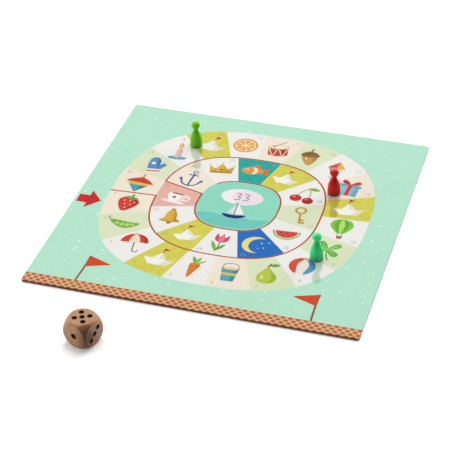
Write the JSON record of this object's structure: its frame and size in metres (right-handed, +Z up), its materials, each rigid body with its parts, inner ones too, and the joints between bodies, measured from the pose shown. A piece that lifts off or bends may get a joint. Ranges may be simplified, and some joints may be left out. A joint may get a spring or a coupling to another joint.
{
  "type": "race game board",
  "caption": "Square folding race-game board of wrapped card leaves with a printed track and a scale-patterned front strip, lacquered pawns standing on it and a wooden die in front.",
  "frame": {"origin": "middle of the set's footprint on the table, with the board's centre 37 mm behind it", "axes": "+Z up from the table, +Y from the board's front strip to its back edge, along the fold, +X to the right"},
  "size_m": [0.3, 0.374, 0.03],
  "materials": {
    "laminated_print": "gloss laminate",
    "grey_card": "raw",
    "backing_paper": "matt",
    "hinge_tape": "woven",
    "lime_lacquer": "gloss lacquer",
    "red_lacquer": "gloss lacquer",
    "emerald_lacquer": "gloss lacquer",
    "die_wood": "sanded, thin clear coat"
  },
  "bodies": {
    "right_leaf": {"right_core": "grey_card", "right_print_sheet": "laminated_print", "right_backing_sheet": "backing_paper", "right_hinge_tape": "hinge_tape"},
    "left_leaf": {"left_core": "grey_card", "left_print_sheet": "laminated_print", "left_backing_sheet": "backing_paper", "left_hinge_tape": "hinge_tape"},
    "lime_pawn": {"lime_pawn": "lime_lacquer"},
    "red_pawn": {"red_pawn": "red_lacquer"},
    "emerald_pawn": {"emerald_pawn": "emerald_lacquer"},
    "die": {"wooden_die": "die_wood"}
  },
  "joints": [
    {"name": "board_fold", "type": "hinge", "parent": "right_leaf", "child": "left_leaf", "pos_m": [0, 0.037, 0.0028], "axis": [0, 1, 0], "range_deg": [0, 140]},
    {"name": "lime_pawn_lift", "type": "slide", "parent": "left_leaf", "child": "lime_pawn", "axis": [0, 0, 1], "range_m": [0, 0.025]},
    {"name": "red_pawn_lift", "type": "slide", "parent": "right_leaf", "child": "red_pawn", "axis": [0, 0, 1], "range_m": [0, 0.025]},
    {"name": "emerald_pawn_lift", "type": "slide", "parent": "right_leaf", "child": "emerald_pawn", "axis": [0, 0, 1], "range_m": [0, 0.025]},
    {"name": "die_lift", "type": "slide", "parent": "right_leaf", "child": "die", "axis": [0, 0, 1], "range_m": [0, 0.025]}
  ]
}
